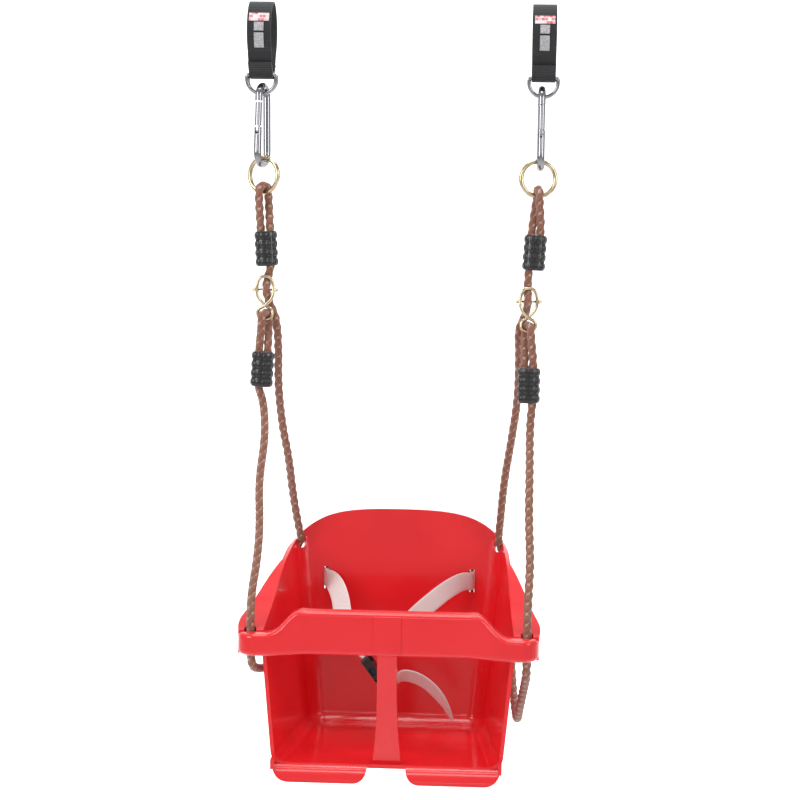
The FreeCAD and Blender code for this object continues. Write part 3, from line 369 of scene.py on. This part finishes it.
rope_fibre.node_tree.links.new(rope_colour_with_painted_light, shader.inputs["Base Color"])
add_bump(rope_fibre, shader, fibre.outputs["Fac"], 0.0006, 0.6)

for side, points in rope_routes.items():
    rope, path, length = make_rope(side + "_plaited_rope", points)
    paint(rope, rope_fibre)
    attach(rope, "swing")
    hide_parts(side + "_rope")

# ---- beam straps -------------------------------------------------------------------------------
# Each strap is one band of black 25 mm webbing sewn into a loop round the beam, with an eye at each
# end for a D-ring. A grey stripe is woven down its middle, and a small patch is sewn on its front.

strap_black, shader = new_material("strap_webbing", roughness=0.75)
shader.inputs["Sheen Weight"].default_value = 0.2
across_uv = coordinates(strap_black, "Object", (1, 1, 1))
ribs = add_texture(strap_black, "ShaderNodeTexWave", across_uv, bands_direction="X", Scale=260.0)
cross_ribs = add_texture(strap_black, "ShaderNodeTexWave", across_uv, bands_direction="Z", Scale=180.0)
weave = math_node(strap_black, "MULTIPLY", ribs.outputs["Fac"], cross_ribs.outputs["Fac"])
weave_colour = ramp(strap_black, weave, [(0.0, (0.004, 0.004, 0.005)), (1.0, (0.035, 0.035, 0.042))])
strap_black.node_tree.links.new(weave_colour, shader.inputs["Base Color"])
add_bump(strap_black, shader, weave, 0.0004, 0.8)

patch_weave, shader = new_material("patch_weave", roughness=0.7)
patch_place = coordinates(patch_weave, "Object", (1, 1, 1))
patch_check = add_texture(patch_weave, "ShaderNodeTexBrick", patch_place, Scale=150.0)
patch_check.inputs["Color1"].default_value = (0.75, 0.72, 0.72, 1)
patch_check.inputs["Color2"].default_value = (0.6, 0.05, 0.08, 1)
patch_check.inputs["Mortar"].default_value = (0.8, 0.78, 0.78, 1)
patch_weave.node_tree.links.new(patch_check.outputs["Color"], shader.inputs["Base Color"])
add_bump(patch_weave, shader, patch_check.outputs["Fac"], 0.0002, 0.5)

stripe_grey, shader = new_material("stripe_grey", roughness=0.5, base=(0.3, 0.3, 0.32))
glint = add_texture(stripe_grey, "ShaderNodeTexVoronoi", coordinates(stripe_grey), Scale=900.0)
glint_stops = [(0.0, (0.16, 0.16, 0.17)), (1.0, (0.6, 0.6, 0.62))]
glint_colour = ramp(stripe_grey, glint.outputs["Distance"], glint_stops)
stripe_grey.node_tree.links.new(glint_colour, shader.inputs["Base Color"])
add_bump(stripe_grey, shader, glint.outputs["Distance"], 0.0002, 0.5)

strap_centre = 0.1487
strap_outside = 0.0316
# where a strap leaves the beam, and how much it then slopes in on its way down
strap_leaves = -0.012
strap_slope = 0.02
stripe_width = 0.010
stripe_lift = 0.0004
# top and bottom of each of the two stripes
stripe_levels = ((0.0075, -0.0015), (-0.0035, -0.0185))


def apply_modifier(piece, kind, **settings):
    """Adds a modifier to the active piece, with its settings, and applies it."""
    modifier = piece.modifiers.new(kind.lower(), kind)
    for key, value in settings.items():
        setattr(modifier, key, value)
    bpy.ops.object.modifier_apply(modifier=modifier.name)


def curved_stripe(name, x, top, bottom):
    """A thin band that lies on the front of a strap between two heights."""
    bpy.ops.mesh.primitive_grid_add(x_subdivisions=3, y_subdivisions=14, size=1, location=(0, 0, 0))
    stripe = bpy.context.object
    stripe.name = name
    radius = strap_outside + stripe_lift
    for vert in stripe.data.vertices:
        level = bottom + (vert.co.y + 0.5) * (top - bottom)
        bend = max(-0.95, min(0.95, level / radius))
        y = -radius * math.sqrt(1 - bend * bend)
        if level < strap_leaves:
            y += (strap_leaves - level) * strap_slope
        vert.co = (x + vert.co.x * stripe_width, y, level)
    apply_modifier(stripe, "SOLIDIFY", thickness=0.0003, offset=0.0)
    return stripe


bpy.ops.object.select_all(action="DESELECT")
for side, sign in sides.items():
    paint(nodes[side + "_beam_strap"], strap_black)
    paint(nodes[side + "_strap_patch"], patch_weave)
    for number, (top, bottom) in enumerate(stripe_levels):
        stripe = curved_stripe(f"{side}_grey_stripe_{number}", sign * strap_centre, top, bottom)
        paint(stripe, stripe_grey)
        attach(stripe, "straps")

# ---- D-rings, snap hooks and gates -------------------------------------------------------------
# Bright chromed wire and rod. The gate is a shorter rod on a pin, sprung shut against the nose.

chrome, shader = new_material("hook_chrome", roughness=0.12, metallic=1.0, base=(0.34, 0.34, 0.36))
smears = add_texture(chrome, "ShaderNodeTexNoise", coordinates(chrome), Scale=90.0, Detail=4.0)
smear_rough = ramp(chrome, smears.outputs["Fac"], [(0.3, (0.08, 0.08, 0.08)), (0.8, (0.2, 0.2, 0.2))])
chrome.node_tree.links.new(smear_rough, shader.inputs["Roughness"])
add_bump(chrome, shader, smears.outputs["Fac"], 0.0002, 0.15)

pin_steel, shader = new_material("pin_steel", roughness=0.35, metallic=1.0, base=(0.4, 0.4, 0.42))
turning = add_texture(pin_steel, "ShaderNodeTexNoise", coordinates(pin_steel), Scale=600.0)
add_bump(pin_steel, shader, turning.outputs["Fac"], 0.0001, 0.3)

for side in sides:
    for part in ("dring_front", "dring_rear", "hook_body", "gate"):
        paint(nodes[f"{side}_{part}"], chrome)
    for part in ("gate_pin", "gate_spring"):
        paint(nodes[f"{side}_{part}"], pin_steel)

# ---- round rings and adjusters -----------------------------------------------------------------
# Nickelled wire with a warm, slightly golden tone: a closed ring in each hook, and below it a
# figure-eight with a ball-ended bar that grips the rope.

warm_nickel, shader = new_material("warm_nickel", roughness=0.18, metallic=1.0, base=(0.50, 0.41, 0.28))
tone = add_texture(warm_nickel, "ShaderNodeTexNoise", coordinates(warm_nickel), Scale=120.0, Detail=3.0)
tone_colour = ramp(warm_nickel, tone.outputs["Fac"], [(0.3, (0.50, 0.38, 0.22)), (0.7, (0.78, 0.68, 0.5))])
warm_nickel.node_tree.links.new(tone_colour, shader.inputs["Base Color"])
add_bump(warm_nickel, shader, tone.outputs["Fac"], 0.0002, 0.15)

for side in sides:
    paint(nodes[side + "_ring"], warm_nickel)
    paint(nodes[side + "_adjuster"], warm_nickel)

# ---- beads and ferrules ------------------------------------------------------------------------
# Each bead is an oval tube of glossy black plastic, moulded with four rows of rounded bumps. It hides
# the dark ferrule that holds the two strands together.

bead_black, shader = new_material("bead_plastic", roughness=0.22, base=(0.008, 0.008, 0.009))
shader.inputs["Coat Weight"].default_value = 0.4
shader.inputs["Coat Roughness"].default_value = 0.15
grain = add_texture(bead_black, "ShaderNodeTexNoise", coordinates(bead_black), Scale=500.0)
grain_stops = [(0.3, (0.16, 0.16, 0.16)), (0.75, (0.34, 0.34, 0.34))]
grain_rough = ramp(bead_black, grain.outputs["Fac"], grain_stops)
bead_black.node_tree.links.new(grain_rough, shader.inputs["Roughness"])
add_bump(bead_black, shader, grain.outputs["Fac"], 0.0002, 0.2)

ferrule_rubber, shader = new_material("ferrule_rubber", roughness=0.7, base=(0.02, 0.02, 0.02))
rubber_grain = add_texture(ferrule_rubber, "ShaderNodeTexNoise", coordinates(ferrule_rubber), Scale=900.0)
add_bump(ferrule_rubber, shader, rubber_grain.outputs["Fac"], 0.0002, 0.4)

bead_length = 0.0405
bead_radius = 0.0116
# the smoothing rounds the ends, so the pattern starts a little short and its rows are cut here
bead_short = 0.003
bead_rows = (-0.0094, 0.0, 0.0094)
bead_flatness = 0.8
bead_places = {
    "left_upper": ((-0.1420, 0.0, -0.2280), -3.3),
    "left_lower": ((-0.1443, -0.006, -0.3562), 3.0),
    "right_upper": ((0.1431, 0.0, -0.2280), 3.3),
    "right_lower": ((0.1396, -0.006, -0.3683), 0.0),
}


def select_faces(mesh_object, test):
    """In edit mode, selects only the faces whose centre and normal pass a test."""
    bpy.ops.mesh.select_mode(type="FACE")
    bpy.ops.mesh.select_all(action="DESELECT")
    work = bmesh.from_edit_mesh(mesh_object.data)
    for face in work.faces:
        face.select = test(face.calc_center_median(), face.normal)
    bmesh.update_edit_mesh(mesh_object.data)


bpy.ops.object.select_all(action="DESELECT")
bpy.ops.mesh.primitive_cylinder_add(
    vertices=10, radius=bead_radius, depth=bead_length - bead_short, end_fill_type="NGON"
)
bead_pattern = bpy.context.object
bpy.ops.object.mode_set(mode="EDIT")
bpy.ops.mesh.select_all(action="SELECT")
for level in bead_rows:
    bpy.ops.mesh.bisect(plane_co=(0, 0, level), plane_no=(0, 0, 1))
    bpy.ops.mesh.select_all(action="SELECT")
select_faces(bead_pattern, lambda centre, normal: abs(normal.z) > 0.9)
bpy.ops.mesh.inset(thickness=0.0026)
bpy.ops.mesh.delete(type="FACE")
select_faces(bead_pattern, lambda centre, normal: abs(normal.z) < 0.1)
bpy.ops.mesh.inset(thickness=0.0009, use_individual=True)
bpy.ops.mesh.inset(thickness=0.0007, depth=0.0012, use_individual=True)
bpy.ops.object.mode_set(mode="OBJECT")
for vert in bead_pattern.data.vertices:
    vert.co.y *= bead_flatness
apply_modifier(bead_pattern, "SOLIDIFY", thickness=0.0022, offset=-1.0)
apply_modifier(bead_pattern, "SUBSURF", levels=2, render_levels=2)
bpy.ops.object.shade_smooth()

for name, (centre, lean) in bead_places.items():
    bead = bpy.data.objects.new(name + "_bumpy_bead", bead_pattern.data.copy())
    bpy.context.collection.objects.link(bead)
    turn = Matrix.Rotation(math.radians(lean), 4, "Y")
    bead.data.transform(Matrix.Translation(centre) @ turn)
    paint(bead, bead_black)
    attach(bead, "swing")
    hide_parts(name + "_bead")
    paint(nodes[name + "_ferrule"], ferrule_rubber)
bpy.data.objects.remove(bead_pattern)

# ---- seat --------------------------------------------------------------------------------------
# One glossy red moulding: a back and two sides, a channelled bar with an ear at each end across the
# front, a crotch post, and a floor that rolls down over the knees in two lobes.

seat_red, shader = new_material("seat_plastic", roughness=0.2)
shader.inputs["Coat Weight"].default_value = 0.3
shader.inputs["Coat Roughness"].default_value = 0.08
shader.inputs["Subsurface Weight"].default_value = 0.08
shader.inputs["Subsurface Radius"].default_value = (0.01, 0.002, 0.002)
mottle = add_texture(seat_red, "ShaderNodeTexNoise", coordinates(seat_red), Scale=14.0, Detail=3.0)
red = ramp(seat_red, mottle.outputs["Fac"], [(0.25, (0.72, 0.011, 0.017)), (0.75, (0.78, 0.015, 0.021))])
seat_red.node_tree.links.new(red, shader.inputs["Base Color"])
mould_grain = add_texture(seat_red, "ShaderNodeTexNoise", coordinates(seat_red), Scale=900.0)
seat_rough = ramp(seat_red, mottle.outputs["Fac"], [(0.2, (0.15, 0.15, 0.15)), (0.8, (0.22, 0.22, 0.22))])
seat_red.node_tree.links.new(seat_rough, shader.inputs["Roughness"])
add_bump(seat_red, shader, mould_grain.outputs["Fac"], 0.0001, 0.06)

seat = bpy.data.objects.new("moulded_seat", nodes["seat_shell"].data.copy())
bpy.context.collection.objects.link(seat)
bpy.context.view_layer.objects.active = seat
bpy.ops.object.select_all(action="DESELECT")
seat.select_set(True)
bpy.ops.object.mode_set(mode="EDIT")
bpy.ops.mesh.select_all(action="SELECT")
bpy.ops.mesh.remove_doubles(threshold=0.00002)
bpy.ops.mesh.dissolve_limited(angle_limit=math.radians(0.6))
bpy.ops.object.mode_set(mode="OBJECT")
apply_modifier(
    seat, "BEVEL", width=0.0014, segments=3, limit_method="ANGLE", angle_limit=math.radians(38)
)
bpy.ops.object.shade_smooth_by_angle(angle=math.radians(40))
# broad faces keep their flat shading beside the rounded edges
apply_modifier(seat, "WEIGHTED_NORMAL", keep_sharp=True)
paint(seat, seat_red)
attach(seat, "swing")
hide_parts("seat_shell")

# ---- lap harness -------------------------------------------------------------------------------
# Two halves of off-white webbing come through slots in the back and meet in a black side-release
# buckle. Each is held behind its slot by a stop pin; the right one's tail hangs free.

belt_white, shader = new_material("belt_webbing", roughness=0.7)
shader.inputs["Sheen Weight"].default_value = 0.3
belt_uv = coordinates(belt_white, "UV", (1, 1, 1))
belt_ribs = add_texture(belt_white, "ShaderNodeTexWave", belt_uv, bands_direction="X", Scale=0.32)
belt_cross = add_texture(belt_white, "ShaderNodeTexWave", belt_uv, bands_direction="Y", Scale=0.22)
belt_weave = math_node(belt_white, "MULTIPLY", belt_ribs.outputs["Fac"], belt_cross.outputs["Fac"])
belt_colour = ramp(belt_white, belt_weave, [(0.0, (0.55, 0.47, 0.46)), (0.6, (0.82, 0.76, 0.75))])
belt_white.node_tree.links.new(belt_colour, shader.inputs["Base Color"])
add_bump(belt_white, shader, belt_weave, 0.0003, 0.6)

buckle_black, shader = new_material("buckle_plastic", roughness=0.35, base=(0.01, 0.01, 0.011))
buckle_grain = add_texture(buckle_black, "ShaderNodeTexNoise", coordinates(buckle_black), Scale=700.0)
add_bump(buckle_black, shader, buckle_grain.outputs["Fac"], 0.0002, 0.25)

belt_width = 0.020
belt_thickness = 0.0016
# from each slot to the buckle, and the loose tail: centre of the band and the way its width lies
belt_runs = {
    "left_belt_front": [
        ((-0.0820, 0.1050, -0.5980), (0, 0, 1)),
        ((-0.0820, 0.0985, -0.5980), (0, 0, 1)),
        ((-0.0760, 0.0920, -0.5985), (0.45, 0.1, 0.9)),
        ((-0.0690, 0.0780, -0.6035), (0.85, 0.1, 0.5)),
        ((-0.0630, 0.0620, -0.6140), (0.97, 0.0, 0.2)),
        ((-0.0585, 0.0450, -0.6280), (1, 0, 0)),
        ((-0.0510, 0.0240, -0.6450), (0.95, 0.3, 0)),
        ((-0.0410, 0.0070, -0.6570), (0.5, 0.86, 0)),
        ((-0.0305, -0.0019, -0.6653), (0.16, 0.987, 0)),
    ],
    "right_belt_front": [
        ((0.0820, 0.1050, -0.5980), (0, 0, -1)),
        ((0.0820, 0.0985, -0.5980), (0, 0, -1)),
        ((0.0720, 0.0910, -0.5970), (0.2, 0, -0.98)),
        ((0.0570, 0.0780, -0.6030), (0.45, 0, -0.9)),
        ((0.0400, 0.0620, -0.6140), (0.62, 0, -0.78)),
        ((0.0210, 0.0450, -0.6290), (0.66, 0.1, -0.75)),
        ((0.0040, 0.0300, -0.6450), (0.66, 0.4, -0.6)),
        ((-0.0080, 0.0180, -0.6590), (0.4, 0.85, -0.3)),
        ((-0.0080, -0.0040, -0.6700), (0.16, 0.987, 0)),
        ((-0.0020, -0.0050, -0.6830), (0.16, 0.987, 0)),
        ((0.0005, -0.0050, -0.6960), (0.16, 0.987, 0)),
        ((-0.0040, -0.0060, -0.7010), (0.16, 0.987, 0)),
    ],
    "right_belt_tail": [
        ((-0.0020, -0.0065, -0.7025), (0.16, 0.987, 0)),
        ((0.0010, -0.0080, -0.6930), (0.16, 0.90, -0.3)),
        ((0.0100, -0.0110, -0.6835), (0.1, 0.72, -0.68)),
        ((0.0230, -0.0150, -0.6835), (0.05, 0.62, -0.78)),
        ((0.0360, -0.0200, -0.6885), (-0.15, 0.66, -0.73)),
        ((0.0480, -0.0240, -0.6980), (-0.4, 0.75, -0.5)),
        ((0.0580, -0.0255, -0.7110), (-0.35, 0.88, -0.3)),
        ((0.0650, -0.0250, -0.7260), (-0.15, 0.97, -0.12)),
    ],
}


def smooth_between(values, place):
    """A smooth curve through a list of vectors, read at a place counted in whole and part steps."""
    i = min(int(place), len(values) - 2)
    t = place - i
    before = values[max(i - 1, 0)]
    after = values[min(i + 2, len(values) - 1)]
    a, b = values[i], values[i + 1]
    bend = 2 * before - 5 * a + 4 * b - after
    close = 3 * (a - b) + after - before
    return 0.5 * (2 * a + (b - before) * t + bend * t**2 + close * t**3)


def make_belt(name, run):
    """A woven band, a fine grid laid along its run and given its thickness, with its length."""
    bpy.ops.object.select_all(action="DESELECT")
    long = 8 * (len(run) - 1)
    bpy.ops.mesh.primitive_grid_add(x_subdivisions=6, y_subdivisions=long, size=1)
    belt = bpy.context.object
    belt.name = name
    centres = [Vector(centre) for centre, across in run]
    widths = [Vector(across).normalized() for centre, across in run]
    for vert in belt.data.vertices:
        place = min(max(vert.co.y + 0.5, 0.0), 1.0) * (len(run) - 1)
        side = smooth_between(widths, place).normalized()
        vert.co = smooth_between(centres, place) + side * vert.co.x * belt_width
    length = sum((b - a).length for a, b in zip(centres, centres[1:]))
    for loop in belt.data.uv_layers.active.data:
        loop.uv = (loop.uv[0] * belt_width * 1000, loop.uv[1] * length * 1000)
    apply_modifier(belt, "SOLIDIFY", thickness=belt_thickness, offset=0.0)
    apply_modifier(
        belt, "BEVEL", width=0.0004, segments=2, limit_method="ANGLE", angle_limit=math.radians(50)
    )
    bpy.ops.object.shade_smooth_by_angle(angle=math.radians(50))
    paint(belt, belt_white)
    return belt, length


for name, run in belt_runs.items():
    belt, length = make_belt(name, run)
    side, end = name.split("_belt_")
    # the right belt is looped through the plug, so its tail follows the plug as the buckle is released
    if side == "left":
        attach(belt, "swing")
    elif end == "tail":
        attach(belt, "plug")
    else:
        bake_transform(belt)
    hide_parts(side + "_belt")

eye_radius = 0.0036
for side in sides:
    # the sewn eye at the end of each belt, round its stop pin behind the back
    low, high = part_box(side + "_belt_stop")
    middle = [(a + b) / 2 for a, b in zip(low, high)]
    bpy.ops.object.select_all(action="DESELECT")
    bpy.ops.mesh.primitive_cylinder_add(
        vertices=32, radius=eye_radius, depth=belt_width, end_fill_type="NOTHING", location=middle
    )
    eye = bpy.context.object
    eye.name = side + "_belt_eye"
    bpy.ops.object.transform_apply(location=True)
    apply_modifier(eye, "SOLIDIFY", thickness=belt_thickness, offset=-1.0)
    bpy.ops.object.shade_smooth_by_angle(angle=math.radians(40))
    paint(eye, belt_white)
    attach(eye, "swing")
    paint(nodes[side + "_belt_stop"], buckle_black)
paint(nodes["buckle_socket"], buckle_black)
paint(nodes["buckle_plug"], buckle_black)

# ---- studio ------------------------------------------------------------------------------------
# A wide pale floor that curves up into a back wall, and large soft lights from both sides, above and
# in front, with one more on the wall.

bpy.ops.object.select_all(action="DESELECT")
bpy.ops.mesh.primitive_grid_add(x_subdivisions=2, y_subdivisions=48, size=1)
floor = bpy.context.object
floor.name = "floor"
floor_level = -1.25
floor_width = 14.0
floor_length = 13.0
floor_front = -5.0
bend_radius = 1.6
wall_place = 4.2
for vert in floor.data.vertices:
    # flat from in front of the swing to behind it, then round and up the back wall
    run = (vert.co.y + 0.5) * floor_length + floor_front
    start = wall_place - bend_radius
    turn = min(max(run - start, 0.0) / bend_radius, math.pi / 2)
    past = max(run - start - bend_radius * math.pi / 2, 0.0)
    y = min(run, start) + bend_radius * math.sin(turn)
    z = floor_level + bend_radius * (1 - math.cos(turn)) + past
    vert.co = (vert.co.x * floor_width, y, z)
bpy.ops.object.shade_smooth()
floor_paint, shader = new_material("floor_paint", roughness=0.9, base=(0.93, 0.93, 0.93))
paint(floor, floor_paint)


def soft_light(name, place, target, width, height, power):
    """A rectangular light at a place, turned to face a target."""
    data = bpy.data.lights.new(name, "AREA")
    data.shape = "RECTANGLE"
    data.size = width
    data.size_y = height
    data.energy = power
    light = bpy.data.objects.new(name, data)
    bpy.context.collection.objects.link(light)
    turn = (Vector(target) - Vector(place)).to_track_quat("-Z", "Y").to_matrix().to_4x4()
    light.matrix_world = Matrix.Translation(place) @ turn


soft_light("left_softbox", (-1.5, -1.3, 0.3), (0, 0, -0.6), 0.7, 1.3, 17)
soft_light("right_softbox", (1.7, -1.2, 0.2), (0, 0, -0.6), 0.6, 1.3, 11)
soft_light("top_softbox", (0.0, -0.3, 1.5), (0, 0, -0.5), 1.4, 1.0, 18)
soft_light("front_fill", (0.3, -3.4, 0.6), (0, 0, -0.5), 1.2, 1.0, 7)
soft_light("wall_wash", (0.0, 0.8, 1.6), (0, 4.2, -0.3), 4.0, 1.0, 170)

# the room lights softly, and shows as plain white where the backdrop ends
world = bpy.data.worlds.new("studio")
world.use_nodes = True
tree = world.node_tree
room = tree.nodes["Background"]
room.inputs["Color"].default_value = (1.0, 1.0, 1.0, 1.0)
room.inputs["Strength"].default_value = 0.5
surround = tree.nodes.new("ShaderNodeBackground")
surround.inputs["Color"].default_value = (1.0, 1.0, 1.0, 1.0)
surround.inputs["Strength"].default_value = 1.0
seen = tree.nodes.new("ShaderNodeLightPath")
choice = tree.nodes.new("ShaderNodeMixShader")
tree.links.new(seen.outputs["Is Camera Ray"], choice.inputs[0])
tree.links.new(room.outputs[0], choice.inputs[1])
tree.links.new(surround.outputs[0], choice.inputs[2])
tree.links.new(choice.outputs[0], tree.nodes["World Output"].inputs["Surface"])
bpy.context.scene.world = world
bpy.context.scene.view_settings.view_transform = "Standard"
